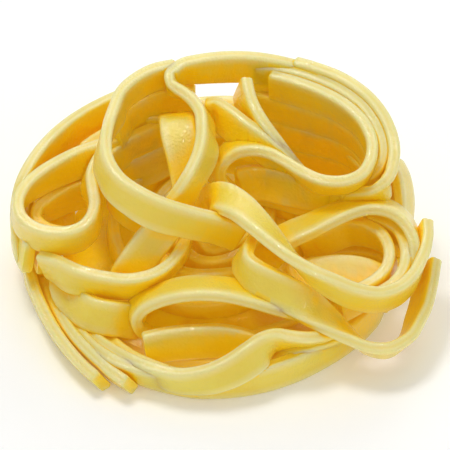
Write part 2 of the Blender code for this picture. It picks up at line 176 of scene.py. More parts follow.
@dataclass(frozen=True)
class SeenRibbon:
    """A ribbon that shows, given by waypoints in the front view.

    Roll turns the ribbon about its own length: at 0 its face looks at the viewer, at 90 its rim does.
    Where less than the end-on share of its way lies across the view, it keeps the width direction it had.
    """

    name: str
    waypoints: tuple[Waypoint, ...]
    line: Line = Line.RIM
    end_on: float = 0.15

    def wide_directions(self, ways: np.ndarray, rolls: np.ndarray) -> np.ndarray:
        """Works out the direction of the ribbon's width from its way and its roll.

        Args:
            ways: Direction of travel at each sample.
            rolls: Roll in degrees at each sample.

        Returns:
            Unit vectors across the ribbon, at right angles to its way.
        """
        found: list[np.ndarray] = []
        for way, roll in zip(ways, np.radians(rolls)):
            side = -(way @ VIEW.up) * VIEW.right + (way @ VIEW.right) * VIEW.up
            if np.linalg.norm(side) < self.end_on and found:
                found.append(found[-1])
                continue
            facing = unit(VIEW.near - (VIEW.near @ way) * way)
            side = side - (side @ way) * way
            side = unit(side - (side @ facing) * facing)
            found.append(math.cos(roll) * side + math.sin(roll) * facing)
        wide = np.array(found)
        return unit(wide - (wide * ways).sum(1, keepdims=True) * ways)

    def route(self, step: float) -> Route:
        """Samples the ribbon's course.

        Args:
            step: Distance between samples.

        Returns:
            The route of the middle of its width.
        """
        rows = np.array([(*VIEW.place(a, v, z), roll) for a, v, z, roll in self.waypoints])
        samples = spline(rows, step)
        points = samples[:, :3]
        wide = self.wide_directions(ways_along(points), samples[:, 3])
        if self.line is Line.RIM:
            points = points - wide * WIDTH / 2
        return Route(points, wide)


@dataclass(frozen=True)
class LowerTurn:
    """A turn that lies flush under a seen ribbon, in the hollow of the coil.

    First and last bound the waypoints it shares with the ribbon. It lies so many widths lower, a little
    to the ribbon's right, and its start is drawn out by the lead.
    """

    name: str
    above: str
    first: int
    last: int
    widths: float
    right: float
    lead: float

    def route(self, step: float) -> Route:
        """Samples the turn's course.

        Args:
            step: Distance between samples.

        Returns:
            The route of the middle of its width.
        """
        ribbon = next(seen for seen in SEEN_RIBBONS if seen.name == self.above)
        shared = SeenRibbon(self.name, ribbon.waypoints[self.first : self.last], ribbon.line)
        course = shared.route(step)
        ways = ways_along(course.points)
        aside = np.cross(ways, course.wide) * self.right
        points = course.points - course.wide * WIDTH * self.widths + aside
        wide = course.wide
        if self.lead:
            points = np.vstack([points[:1] - ways[:1] * self.lead, points])
            wide = np.vstack([wide[:1], wide])
        return Route(points, wide)


@dataclass(frozen=True)
class HiddenTurn:
    """A turn of the nest that the front view hides: part of an uneven ring that stands on edge.

    Angles run anticlockwise seen from above, from +X, lean is how far the rim tips inwards, and the rim's
    height goes from low to high. A turn that stands on the table, within the clearance, doesn't sway.
    """

    name: str
    low: float
    high: float
    radius_x: float
    radius_y: float
    middle_x: float
    middle_y: float
    start: float
    end: float
    lean: float
    wobble: float = 0.8
    wobble_waves: float = 3.0
    sway: float = 0.5
    sway_waves: float = 4.0
    clearance: float = 0.5

    def route(self, step: float, draw: random.Random) -> Route:
        """Samples the turn's course.

        Args:
            step: Distance between samples.
            draw: Source of the turn's unevenness.

        Returns:
            The route of the middle of its width.
        """
        tilt = math.radians(self.lean)
        count = max(4, round(math.radians(abs(self.end - self.start)) * self.radius_x / step))
        phase = draw.uniform(0.0, math.tau)
        sway = self.sway if self.low > WIDTH + self.clearance else 0.0
        points = []
        wide = []
        for k in range(count + 1):
            share = k / count
            angle = math.radians(self.start + (self.end - self.start) * share)
            out = np.array([math.cos(angle), math.sin(angle), 0.0])
            swell = self.wobble * math.sin(self.wobble_waves * angle + phase)
            top = self.low + (self.high - self.low) * share
            top += sway * math.sin(self.sway_waves * angle + phase)
            x = self.middle_x + (self.radius_x + swell) * out[0]
            y = self.middle_y + (self.radius_y + swell) * out[1]
            across = math.cos(tilt) * np.array([0.0, 0.0, 1.0]) - math.sin(tilt) * out
            points.append(np.array([x, y, top]) - across * WIDTH / 2)
            wide.append(across)
        return Route(np.array(points), np.array(wide))


SEEN_RIBBONS = (
    SeenRibbon("hoop", (
        (-8.4, 34.6, 33, 127), (-12.3, 33.7, 33, 125), (-15.5, 31.9, 33, 119), (-17.7, 29.7, 32.8, 112),
        (-18.8, 27, 32.4, 103), (-19.6, 24.2, 32, 90), (-19.9, 21, 31.5, 75), (-19.3, 18, 31, 62),
        (-17.3, 15.3, 30, 46), (-14, 13.1, 29, 36), (-10, 11.3, 27.5, 28), (-5, 9.7, 25, 36),
        (0, 8.4, 22.5, 40), (4, 7, 20.5, 40),
    )),
    SeenRibbon("under_hoop", (
        (-20.2, 18.5, 23, 90), (-19.6, 15.8, 22.5, 84), (-17.9, 13.2, 21.8, 56), (-15.3, 11.5, 21, 42),
        (-12.5, 10.3, 20, 36), (-9, 9.2, 18.5, 32),
    )),
    SeenRibbon("s_strand", (
        (15.5, 33.6, 29.5, 137), (10, 35.1, 31.5, 137), (5, 35.9, 32.5, 137), (0, 36, 33.3, 137),
        (-4.5, 35.4, 33.4, 130), (-7.5, 34.5, 33.2, 119), (-9.5, 32.5, 32.6, 106), (-9, 30.6, 32, 97),
        (-7, 29.3, 31.5, 90), (-5.6, 28.1, 31.2, 88), (-4.4, 26.2, 31, 97), (-4.2, 23.8, 30.8, 112),
        (-4.4, 21.1, 30.4, 118), (-5.2, 18.3, 29.6, 118), (-6.9, 15, 28, 118), (-9.4, 11.5, 25, 125),
        (-12.5, 8.2, 21.5, 150), (-15.3, 5.2, 18.5, 165), (-17.8, 1.8, 15, 170), (-19.5, -0.9, 12, 172),
    )),
    SeenRibbon("coil_inner", (
        (7.6, 32.9, 30, 50), (11, 32, 30, 50), (15.5, 30.4, 29.8, 54), (20, 28, 29.3, 62),
        (23.3, 24.9, 28.5, 72), (24.8, 21.5, 27.5, 84), (24.6, 18.3, 26.8, 95), (23, 15.8, 26.2, 103),
        (20.2, 14.6, 26, 106), (16.5, 14.7, 26, 107), (13, 16.1, 26, 103), (10, 17.8, 26, 95),
        (7, 19.1, 26, 83), (4, 19.3, 25.5, 72), (1.5, 18.6, 24.5, 70), (-0.2, 17, 23, 74),
        (-0.7, 15.2, 21, 80), (0.3, 13.3, 18.5, 90), (2.5, 11.8, 16, 100),
    )),
    SeenRibbon("coil_middle", (
        (4.9, 34.4, 30.5, 48), (9, 34, 30.5, 48), (14, 32.8, 30.5, 50), (19.5, 30.4, 30, 56),
        (23.7, 27.1, 29, 64), (26.1, 23.2, 27.5, 74), (26.9, 19.8, 26, 82), (26.2, 17, 24.5, 88),
        (24.3, 15.3, 23, 103), (21, 14.6, 22, 123), (17, 14.8, 21.5, 145), (12, 15.8, 21, 155),
        (7, 17, 20.5, 160), (3.5, 17, 20, 160), (1.8, 16.6, 19.4, 160),
    )),
    SeenRibbon("coil_outer", (
        (11.8, 35.1, 31.5, 50), (15, 34.2, 31.5, 50), (20, 32.2, 31, 55), (24.5, 28.9, 30, 62),
        (27.3, 25, 28.5, 72), (28.6, 20.8, 27, 82), (28.5, 17.6, 25.8, 84), (27.6, 15, 24.6, 88),
        (25.4, 13.3, 23.2, 101), (22, 12.8, 21.5, 121), (18, 13.2, 19.8, 141), (14, 14.3, 18.4, 156),
        (9, 15.8, 17.3, 162), (4, 16.9, 16.3, 165), (1.6, 16.8, 15.8, 165),
    )),
    SeenRibbon("spoke_right", (
        (3.8, 32.2, 31.5, 68), (4.2, 30, 31, 68), (5.1, 27.3, 30, 68), (6.8, 24.4, 28.5, 66),
        (9, 21.5, 26.5, 62), (11.5, 18.3, 24, 56), (14, 15.5, 22, 50),
    )),
    SeenRibbon("spoke_left", (
        (-3.5, 28.1, 28, 40), (-1.3, 28.2, 28.6, 40), (1.2, 26.8, 28.8, 40), (3.8, 24.8, 28.4, 40),
        (6.4, 23, 27.6, 42), (8.6, 21.3, 26.4, 45), (10.6, 19.4, 25, 48), (13, 16.6, 22.6, 50),
    )),
    SeenRibbon("cross_strand", (
        (-3.2, 8.5, 17, 150), (-2.2, 10.8, 20.5, 150), (-0.3, 11.3, 23, 146), (2.5, 9.9, 24, 136),
        (5.5, 7.2, 23.7, 124), (8.3, 4.3, 22.8, 110), (11, 1.6, 21.5, 95), (14, -0.8, 20, 78),
        (17.5, -3, 18, 62), (21.5, -4.9, 16, 56), (25.5, -5.6, 14.5, 58), (29, -4.6, 13.5, 66),
        (31.6, -2.2, 13.2, 80), (33, 1.2, 13.5, 98), (33.4, 4, 13.9, 108), (33.4, 6.4, 14.3, 110),
    ), Line.MIDDLE),
    SeenRibbon("low_right_loop", (
        (10, 1, 13, 325), (7, 3, 15, 320), (4.9, 3.9, 17, 300), (3.4, 2.6, 18, 262), (3.3, 0.2, 18.2, 238),
        (5.2, -1.8, 17.6, 215), (9, -3.9, 15.8, 193), (13, -6.2, 13.2, 165), (17, -8.9, 10.6, 130),
        (20.5, -11.5, 8.6, 105), (24, -13.7, 7, 85), (27.5, -14.1, 6.2, 80), (30.6, -12.2, 6.2, 95),
        (32.5, -8.3, 7, 112), (33.7, -4, 8.2, 116), (34.4, 0.3, 9.5, 118),
    ), Line.MIDDLE),
    SeenRibbon("right_arch", (
        (9, 2.3, 16, 125), (12, 3.9, 17.5, 124), (15, 5.3, 18.5, 122), (18.5, 7.2, 19.5, 118),
        (22, 8.8, 20, 112), (25, 9.4, 20, 108), (28, 8.8, 19.5, 103), (30.3, 7, 18.5, 97),
        (31.8, 4.2, 17, 90), (32, 1, 15, 85), (31, -1.8, 13.5, 80), (28.8, -4, 12.5, 70),
    )),
    SeenRibbon("right_inner", (
        (12, 5, 13, 43), (16, 6.5, 14.5, 43), (20, 8, 15.5, 45), (22.5, 8, 16, 50), (24.5, 7.2, 16, 62),
        (26.4, 5.8, 16, 75), (27.5, 3.8, 15.8, 86), (27.7, 1.5, 15.3, 92), (26.8, -0.6, 14.8, 105),
        (24.8, -2.2, 14.2, 118), (22, -3.6, 13.5, 128), (19, -5, 13, 132),
    )),
    SeenRibbon("right_second", (
        (24, 9, 16.3, 60), (27.5, 7.6, 16.5, 70), (29.3, 6.2, 16.3, 80), (30.3, 4, 16, 88),
        (30.5, 1.6, 15.5, 92), (29.8, -0.8, 15, 102), (28.2, -2.6, 14.3, 115), (25.5, -4.2, 13.5, 125),
    )),
    SeenRibbon("right_flat", (
        (11, -2.6, 10.6, 165), (15, -1.6, 11.4, 165), (19, -1.1, 11.4, 165), (23, -1.5, 10.9, 165),
        (26.6, -3, 10, 165),
    ), Line.MIDDLE),
    SeenRibbon("right_deep", (
        (9, 1.5, 7, 150), (15, 3.4, 7.6, 150), (21, 4.4, 7.6, 150), (27, 3.4, 7, 150), (30, 1.2, 6.4, 150),
    ), Line.MIDDLE),
    SeenRibbon("right_lining", (
        (2.5, 4.6, 8.4, 160), (6.4, 2.4, 9, 160), (10, 0, 9.2, 160), (13.5, -2.6, 8.8, 160),
    ), Line.MIDDLE),
    SeenRibbon("right_fill", (
        (2.5, 12.4, 12, 43), (7, 11.6, 12.5, 43), (11, 10.6, 12.5, 43), (14.5, 9.4, 12, 45),
    )),
    SeenRibbon("right_back", (
        (28.5, 18, 17, 105), (29.8, 15, 15.5, 108), (30.3, 12, 14, 110), (30.3, 9, 13, 108),
        (30, 6, 12, 105),
    ), Line.MIDDLE),
    SeenRibbon("left_loop", (
        (-18, 22.3, 22.5, 140), (-21.8, 21, 22.5, 140), (-25, 19.9, 22.5, 138), (-28.5, 18.1, 22, 130),
        (-31.5, 16.1, 21.5, 120), (-33.9, 13.6, 21, 103), (-34.9, 10.9, 20.5, 89), (-34.2, 8.5, 20, 73),
        (-32, 6.9, 19.7, 59), (-28.3, 6.2, 19.5, 52), (-25, 6.7, 19.7, 54), (-23, 8.2, 20, 66),
        (-22.1, 10.5, 20.5, 82), (-22.3, 13.2, 21, 95), (-22.5, 15.5, 21.5, 95), (-21.6, 18, 22, 88),
        (-20, 20, 22, 85),
    )),
    SeenRibbon("left_back", (
        (-17, 30, 24.5, 140), (-20.5, 28.5, 24.5, 140), (-24, 26.6, 24, 135), (-27.5, 24.1, 23.5, 128),
        (-30.5, 21.2, 22.5, 122), (-33, 17.7, 21.3, 112), (-34.6, 14.3, 19.6, 104), (-35.3, 11, 17.4, 98),
        (-35.4, 7.5, 14.8, 94), (-35, 4, 12.2, 92), (-34.4, 0.8, 10, 90),
    )),
    SeenRibbon("left_inner", (
        (-21, 15.8, 16.5, 140), (-23.5, 15, 16.5, 138), (-27, 13.6, 16, 130), (-30, 11.7, 15.5, 118),
        (-31.8, 9.9, 15, 98), (-31.7, 8, 14.5, 75), (-30, 6.8, 14, 60), (-27, 6.2, 14, 50),
    )),
    SeenRibbon("left_floor", (
        (-34, 10.5, 8, 20), (-31, 9, 8, 10), (-28, 8.4, 8, 8), (-25.5, 8.6, 8, 8),
    ), Line.MIDDLE),
    SeenRibbon("left_swag", (
        (-31.6, 2.4, 14, 58), (-28, 1.4, 14.8, 46), (-24.5, -0.2, 15.2, 50), (-20.5, -1.3, 15, 56),
        (-16, -1.8, 15.5, 62), (-12, -1, 16, 70), (-9.2, 0.8, 16.5, 78), (-7.4, 3.2, 17, 84),
        (-6.5, 6, 17.5, 88), (-6.2, 9, 18, 90),
    )),
    SeenRibbon("left_low", (
        (-22.6, -1, 7.9, 45), (-23.9, -2.4, 8.7, 40), (-23.4, -4, 9.8, 32), (-21.8, -5.2, 10.6, 22),
        (-19.5, -5.7, 10.6, 16), (-16.5, -6, 9.6, 14), (-13, -6.8, 8.2, 12),
    )),
    SeenRibbon("front_arch", (
        (-10, -12.2, 5.5, 60), (-12.8, -12, 6, 70), (-14.4, -10.8, 7.5, 85), (-14.8, -9.2, 9.6, 95),
        (-13.7, -7.6, 12, 108), (-11, -6.3, 14, 116), (-7, -5.4, 15.3, 120), (-3, -5.2, 15.8, 120),
        (1, -5.6, 15.5, 120), (5, -6.6, 14.5, 120), (9, -7.8, 13, 120), (13, -8.8, 11.5, 120),
    )),
    SeenRibbon("front_flat", (
        (-14, -11.3, 9, 30), (-10, -10.4, 9.3, 28), (-5, -9.9, 9.4, 26), (0, -9.9, 9.3, 26),
        (4, -10.8, 8.8, 26), (7, -12, 8, 26),
    )),
    SeenRibbon("front_twist", (
        (-25, -8, 5.2, 84), (-22.3, -11.5, 5.4, 82), (-19, -13.8, 6.2, 78), (-15, -15.8, 7.1, 72),
        (-11, -17.1, 7.4, 64), (-7.5, -17.6, 7.6, 56), (-3.5, -16.9, 8.5, 44), (0, -15.3, 9.8, 35),
        (3.5, -12.9, 11.3, 32), (6, -11.4, 12, 42), (8.5, -10.9, 12, 55), (11, -11.4, 11.4, 68),
        (14, -11.8, 10.6, 78), (17, -11.4, 9.4, 80), (18.6, -10.9, 8.6, 80),
    )),
    SeenRibbon("front_under", (
        (4, -15.8, 3.8, 60), (7, -15, 4.6, 62), (10, -14.4, 6.2, 66), (13, -13.7, 6.8, 70),
        (16, -12.8, 7, 74), (19, -11.7, 6.9, 78), (20.5, -10.9, 6.6, 78),
    )),
    SeenRibbon("side_inner", (
        (-22, -9, 4.6, 80), (-19, -12.4, 4.8, 75), (-15.5, -14.8, 5.5, 64), (-12, -16.3, 5.8, 55),
        (-9.5, -17.1, 5.6, 50),
    )),
    SeenRibbon("side_outer", (
        (-33.6, 2.6, 7, 88), (-33, -1, 6.5, 88), (-31.6, -5.2, 6, 88), (-29.4, -9.6, 5.6, 88),
        (-27, -13.2, 5.3, 88), (-24.4, -16.2, 5, 88), (-22.2, -18.2, 5, 88),
    )),
    SeenRibbon("side_second", (
        (-30.8, -1.5, 5.2, 86), (-28.6, -6.8, 5.3, 86), (-25.6, -11.4, 5.8, 86), (-22, -15.2, 5.8, 86),
        (-19.2, -17.6, 5.4, 86), (-17, -19.1, 5.2, 86),
    )),
    SeenRibbon("bottom_ring", (
        (-28.5, -4.4, 5, 84), (-26, -9, 5.1, 84), (-23, -12.6, 5.7, 82), (-19.5, -15.2, 6.4, 78),
        (-15, -16.9, 6.4, 70), (-10, -17.6, 6.3, 60), (-5, -17.9, 6.3, 52), (0, -17.6, 6.3, 48),
        (5, -16.9, 6.3, 48), (10, -15.4, 6.3, 48), (15, -13.2, 6.3, 50), (20, -10.2, 6.3, 54),
        (24, -6.6, 6.3, 60), (27, -2.3, 6.3, 72),
    )),
    SeenRibbon("upright_fold", (
        (-5.7, 12, 20, 5), (-6.3, 16, 23, 5), (-7.1, 19.6, 25.6, 5), (-7.8, 22.3, 27.1, 3),
        (-8, 24, 27.4, 0), (-8.1, 24.9, 26.2, 0), (-8.2, 24.8, 24.2, 0),
    ), Line.MIDDLE),
    SeenRibbon("hoop_back", (
        (-19, 24, 26, 60), (-17, 27, 26.5, 55), (-13.5, 29.3, 27, 45), (-9, 30.5, 27, 43),
        (-5, 30.5, 27, 43),
    )),
    SeenRibbon("hoop_lower", (
        (-18, 24.3, 22, 50), (-16, 25.5, 22.5, 45), (-12, 25.8, 22.5, 43), (-8, 25.5, 22, 43),
    )),
    SeenRibbon("deep_first", (
        (-20, 19.5, 21, 55), (-16.8, 21.9, 21.5, 50), (-13, 23.7, 21.5, 48), (-9.5, 25.3, 21, 45),
    )),
    SeenRibbon("deep_second", (
        (-19.5, 17.2, 16, 40), (-16.5, 18.2, 16.5, 35), (-14, 19.2, 16.5, 32), (-11, 20.8, 16.5, 30),
        (-7.5, 22.5, 16, 30),
    )),
    SeenRibbon("deep_third", (
        (-18, 13.5, 13, 45), (-15, 15.3, 13, 45), (-12.5, 17.3, 13, 45), (-10, 19.3, 13, 45),
    )),
)

LOWER_TURNS = (
    LowerTurn("lower_0", "coil_inner", 0, 9, 0.9, -0.05, 3.0),
    LowerTurn("lower_1", "coil_inner", 0, 9, 1.8, 0.05, 4.0),
    LowerTurn("lower_2", "coil_inner", 0, 9, 2.7, -0.02, 2.0),
    LowerTurn("lower_3", "coil_middle", 0, 4, 0.9, -0.05, 0.0),
)

HIDDEN_TURNS = (
    HiddenTurn("turn_0", 6.2, 6.2, 30.5, 32.0, -1.5, 0.5, -20.0, 194.0, 3.0),
    HiddenTurn("turn_1", 6.3, 6.3, 24.0, 26.5, -1.5, 0.0, -40.0, 150.0, 0.0),
    HiddenTurn("turn_2", 10.6, 12.6, 30.6, 30.0, -1.5, -1.5, -8.0, 196.0, 8.0),
    HiddenTurn("turn_3", 17.0, 15.6, 28.8, 26.4, -2.0, -3.0, 5.0, 142.0, 14.0),
    HiddenTurn("turn_4", 21.6, 20.6, 26.0, 22.0, -2.0, -4.0, 62.0, 148.0, 20.0),
    HiddenTurn("turn_5", 8.2, 15.0, 32.6, 32.8, -0.8, -1.5, 98.0, 196.0, 12.0),
    HiddenTurn("turn_6", 8.6, 15.8, 31.0, 31.6, -1.5, -1.5, 84.0, 14.0, 12.0),
)


# Ribbon meshes


def enter(mode: str) -> None:
    """Switches the active object to a mode."""
    bpy.ops.object.mode_set(mode=mode)


def deselect_all() -> None:
    """Leaves nothing selected, as operators act on all that is."""
    bpy.ops.object.select_all(action="DESELECT")


def pick(thing: Piece) -> None:
    """Makes one object selected and active."""
    deselect_all()
    thing.select_set(True)
    bpy.context.view_layer.objects.active = thing


@dataclass
class RibbonSection:
    """The cut through a ribbon: flat faces, and rims whose corners have swollen round.

    The two corners of a rim stand a little proud of its middle, which gives a rim its two bright lines.
    """

    thick: float = 2.05
    corner: float = 0.62
    corner_steps: int = 3
    rim_cuts: int = 1
    face_cuts: int = 3
    rim_dip: float = 0.13

    def build(self) -> Piece:
        """Models the outline from a plane and turns it into a curve.

        Returns:
            The closed outline, in metres, to bevel a ribbon's course with.
        """
        deselect_all()
        bpy.ops.mesh.primitive_plane_add(size=1.0)
        outline = bpy.context.object
        outline.name = "ribbon_section"
        outline.scale = (WIDTH * MM, self.thick * MM, 1.0)
        bpy.ops.object.transform_apply(scale=True)
        enter("EDIT")
        bpy.ops.mesh.select_all(action="SELECT")
        bpy.ops.mesh.bevel(offset=self.corner * MM, segments=self.corner_steps, affect="VERTICES")
        bpy.ops.mesh.select_all(action="SELECT")
        bpy.ops.mesh.delete(type="ONLY_FACE")
        enter("OBJECT")
        self.split_flats(outline)
        bpy.ops.object.convert(target="CURVE")
        return bpy.context.object

    def split_flats(self, outline: Piece) -> None:
        """Adds points in the middle of each flat side, and sinks those of the rims.

        Args:
            outline: The rounded rectangle, all edges and no face.
        """
        mesh = outline.data
        half = WIDTH * MM / 2
        for select_rims, cuts in ((True, self.rim_cuts), (False, self.face_cuts)):
            enter("EDIT")
            bpy.ops.mesh.select_all(action="DESELECT")
            enter("OBJECT")
            for edge in mesh.edges:
                start, end = (mesh.vertices[i].co for i in edge.vertices)
                if select_rims:
                    upright = abs(start.x - end.x) < ROUNDING
                    edge.select = upright and abs(abs(start.x) - half) < ROUNDING
                else:
                    edge.select = abs(start.y - end.y) < ROUNDING and abs(start.x - end.x) > half
            enter("EDIT")
            bpy.ops.mesh.select_mode(type="EDGE")
            bpy.ops.mesh.subdivide(number_cuts=cuts)
            bpy.ops.mesh.select_mode(type="VERT")
            enter("OBJECT")
        for vert in mesh.vertices:
            if abs(vert.co.y) < ROUNDING:
                vert.co.x -= math.copysign(self.rim_dip * MM, vert.co.x)


@dataclass
class RibbonMaker:
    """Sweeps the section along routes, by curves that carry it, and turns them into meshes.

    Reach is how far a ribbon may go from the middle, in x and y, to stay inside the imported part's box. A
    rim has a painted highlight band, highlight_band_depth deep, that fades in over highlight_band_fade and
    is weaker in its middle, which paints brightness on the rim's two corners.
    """

    section: RibbonSection = field(default_factory=RibbonSection)
    end_shrink: float = 0.9
    end_length: float = 0.35
    uv_span: float = 10.0
    reach: Span = (36.65, 33.93)
    lowest: float = 0.05
    highlight_band_depth: float = 1.3
    highlight_band_fade: float = 1.0
    highlight_band_middle: float = 0.6
    crease_degrees: float = 50.0

    def __post_init__(self) -> None:
        """Builds the outline that all ribbons share."""
        self.outline = self.section.build()
        points = self.outline.data.splines[0].points
        self.profile = np.array([p.co[:2] for p in points]) / MM

    def sweep(self, name: str, route: Route) -> Piece:
        """Makes one ribbon.

        Args:
            name: Name of the piece.
            route: Its course, in millimetres.

        Returns:
            The ribbon's closed mesh, with its place in the mesh.
        """
        points, wide, sizes = self.with_ends(route)
        spots = VIEW.to_frame(points) * MM
        curve = bpy.data.curves.new(name, "CURVE")
        curve.dimensions = "3D"
        curve.twist_mode = "Z_UP"
        curve.bevel_mode = "OBJECT"
        curve.bevel_object = self.outline
        curve.use_fill_caps = True
        line = curve.splines.new("POLY")
        line.points.add(len(spots) - 1)
        for point, spot, size, tilt in zip(line.points, spots, sizes, self.tilts(spots, wide)):
            point.co = (*spot, 1.0)
            point.radius = size
            point.tilt = tilt
        ribbon = bpy.data.objects.new(name, curve)
        bpy.context.scene.collection.objects.link(ribbon)
        pick(ribbon)
        bpy.ops.object.convert(target="MESH")
        ribbon = bpy.context.object
        self.mark_lines(ribbon, points)
        far_x, far_y = (limit * MM for limit in self.reach)
        for vert in ribbon.data.vertices:
            x, y, z = vert.co
            vert.co = (min(max(x, -far_x), far_x), min(max(y, -far_y), far_y), max(z, self.lowest * MM))
        self.close(ribbon)
        return ribbon

    def with_ends(self, route: Route) -> tuple[np.ndarray, np.ndarray, np.ndarray]:
        """Adds a short, slightly smaller step at each cut end, which rounds the cut's edges.

        Args:
            route: The course of the ribbon.

        Returns:
            Points, width directions and sizes, with one more step at each end.
        """
        points, wide = route.points, route.wide
        first = points[0] + unit(points[1] - points[0]) * self.end_length
        last = points[-1] + unit(points[-2] - points[-1]) * self.end_length
        points = np.vstack([points[:1], first[None], points[1:-1], last[None], points[-1:]])
        wide = np.vstack([wide[:1], wide[:1], wide[1:-1], wide[-1:], wide[-1:]])
        sizes = np.ones(len(points))
        sizes[0] = sizes[-1] = self.end_shrink
        return points, wide, sizes

    @staticmethod
    def tilts(spots: np.ndarray, wide: np.ndarray) -> list[float]:
        """Works out the tilt that lays the section's length along each width direction.

        Args:
            spots: Points of the path.
            wide: Width direction at each point.

        Returns:
            The tilt in radians at each point, measured from the curve's own upright frame.
        """
        found = []
        for k in range(len(spots)):
            behind = spots[k] - spots[k - 1] if k else spots[1] - spots[0]
            ahead = spots[k + 1] - spots[k] if k + 1 < len(spots) else behind
            way = Vector(unit(unit(behind) + unit(ahead)))
            frame = way.to_track_quat("Z", "Y").to_matrix()
            across = Vector(wide[k])
            found.append(math.atan2(across.dot(frame.col[1]), across.dot(frame.col[0])))
        return found

    def mark_lines(self, ribbon: Piece, points: np.ndarray) -> None:
        """Writes the UV map, in centimetres along and around, and the mask of the painted rim highlight:
        how near each point is to a rim, weaker in the rim's middle.

        Args:
            ribbon: The swept mesh, rings of points in order after its two caps.
            points: The points of its path, in millimetres.
        """
        mesh = ribbon.data
        outline = np.vstack([self.profile, self.profile[:1]])
        along, around = (
            np.concatenate([[0.0], np.cumsum(np.linalg.norm(np.diff(path, axis=0), axis=1))])
            for path in (points, outline)
        )
        layer = mesh.uv_layers[0]
        uvs = np.empty(len(mesh.loops) * 2, np.float32)
        layer.data.foreach_get("uv", uvs)
        uvs = uvs.reshape(-1, 2)
        steps = np.interp(uvs[:, 0] * (len(points) - 1), np.arange(len(points)), along)
        turns = np.interp(uvs[:, 1] * len(self.profile), np.arange(len(outline)), around)
        uvs = np.stack([steps, turns], axis=1).astype(np.float32)
        layer.data.foreach_set("uv", uvs.ravel() / self.uv_span)
        # The rim band written below is the mask of a painted highlight, weaker in the rim's middle.
        across, deep = np.abs(self.profile).T
        highlight_band_start = WIDTH / 2 - self.highlight_band_depth
        flat = self.section.thick / 2 - self.section.corner
        highlight_band = np.clip((across - highlight_band_start) / self.highlight_band_fade, 0.0, 1.0)
        highlight_band *= self.highlight_band_middle + (1.0 - self.highlight_band_middle) * np.clip(deep / flat, 0.0, 1.0)
        rim = mesh.attributes.new("rim", "FLOAT", "POINT")
        rim.data.foreach_set("value", np.resize(highlight_band, len(mesh.vertices)).astype(np.float32))

    def close(self, ribbon: Piece) -> None:
        """Joins the caps to the sides and turns every face outwards."""
        pick(ribbon)
        enter("EDIT")
        bpy.ops.mesh.select_all(action="SELECT")
        bpy.ops.mesh.remove_doubles(threshold=ROUNDING)
        bpy.ops.mesh.normals_make_consistent(inside=False)
        enter("OBJECT")
        bpy.ops.object.shade_smooth_by_angle(angle=math.radians(self.crease_degrees))

    def finish(self) -> None:
        """Removes the outline once every ribbon is made."""
        bpy.data.objects.remove(self.outline)


# Finishes


def linear(code: str) -> tuple[float, float, float, float]:
    """Turns an sRGB hex colour into linear red, green, blue and alpha."""
    parts = [int(code[k : k + 2], 16) / 255.0 for k in (0, 2, 4)]
    red, green, blue = (p / 12.92 if p <= 0.04045 else ((p + 0.055) / 1.055) ** 2.4 for p in parts)
    return (red, green, blue, 1.0)


def add_node(tree: Tree, kind: str, settings: dict[str, object], **links: object) -> bpy.types.Node:
    """Adds a shader node with its settings and links.

    Args:
        tree: The material's node tree.
        kind: The node's type, without the words that all of them start with.
        settings: Values for the node's properties or, where it has no such property, its sockets.
        **links: Output sockets or values for its inputs, by the input's name with _ for spaces, or by
            its number after in_.

    Returns:
        The new node.
    """
    node = tree.nodes.new(f"ShaderNode{kind}")
    for name, value in settings.items():
        if hasattr(node, name):
            setattr(node, name, value)
        else:
            node.inputs[name].default_value = value
    for name, value in links.items():
        socket = node.inputs[int(name[3:]) if name.startswith("in_") else name.replace("_", " ")]
        if isinstance(value, Socket):
            tree.links.new(value, socket)
        else:
            socket.default_value = value
    return node


@dataclass(frozen=True)
class ShelterMarker:
    """Measures how shut in each point is, for the shade that the pasta paints into its folds, as dough that
    faces only dough takes on its colour.

    Light that reaches a fold has met other ribbons on its way, and has lost its blue and some of its
    green to them, so folds look golden and the deepest of them a deeper orange; this is painted into the
    pasta's colour as shade. A direction counts if it rises from the surface by more than the facing share.
    One that meets no dough and goes down meets the table, which counts in part.
    """

    reach_mm: float = 12.0
    lift_mm: float = 0.25
    rays: int = 40
    facing: float = 0.12
    downward: float = -0.1
    table_share: float = 0.45

    def directions(self) -> list[Vector]:
        """Returns directions spread evenly over a ball, by the golden angle."""
        golden = math.pi * (3.0 - math.sqrt(5.0))
        found = []
        for k in range(self.rays):
            height = 1.0 - 2.0 * (k + 0.5) / self.rays
            level = math.sqrt(1.0 - height * height)
            found.append(Vector((math.cos(golden * k) * level, math.sin(golden * k) * level, height)))
        return found

    def mark(self, pieces: list[Piece]) -> None:
        """Writes the measure, from 0 in the open to 1 shut in, as an attribute of each piece.

        Args:
            pieces: Every piece of the nest, unturned and at the origin.
        """
        spots, faces = [], []
        for piece in pieces:
            first = len(spots)
            spots.extend(vert.co.copy() for vert in piece.data.vertices)
            faces.extend([first + k for k in face.vertices] for face in piece.data.polygons)
        tree = BVHTree.FromPolygons(spots, faces)
        ways = self.directions()
        for piece in pieces:
            values = [self.shelter(tree, vert, ways) for vert in piece.data.vertices]
            layer = piece.data.attributes.new("shelter", "FLOAT", "POINT")
            layer.data.foreach_set("value", values)

    def shelter(self, tree: BVHTree, vert: bpy.types.MeshVertex, ways: list[Vector]) -> float:
        """Measures one point.

        Args:
            tree: The whole nest.
            vert: The point.
            ways: Directions to look in.

        Returns:
            The share of what the point faces that is dough or table.
        """
        start = vert.co + vert.normal * self.lift_mm * MM
        blocked = total = 0.0
        for way in ways:
            weight = way.dot(vert.normal)
            if weight < self.facing:
                continue
            total += weight
            if tree.ray_cast(start, way, self.reach_mm * MM)[0] is not None:
                blocked += weight
            elif way.z < self.downward:
                blocked += weight * self.table_share
        return blocked / total if total else 1.0


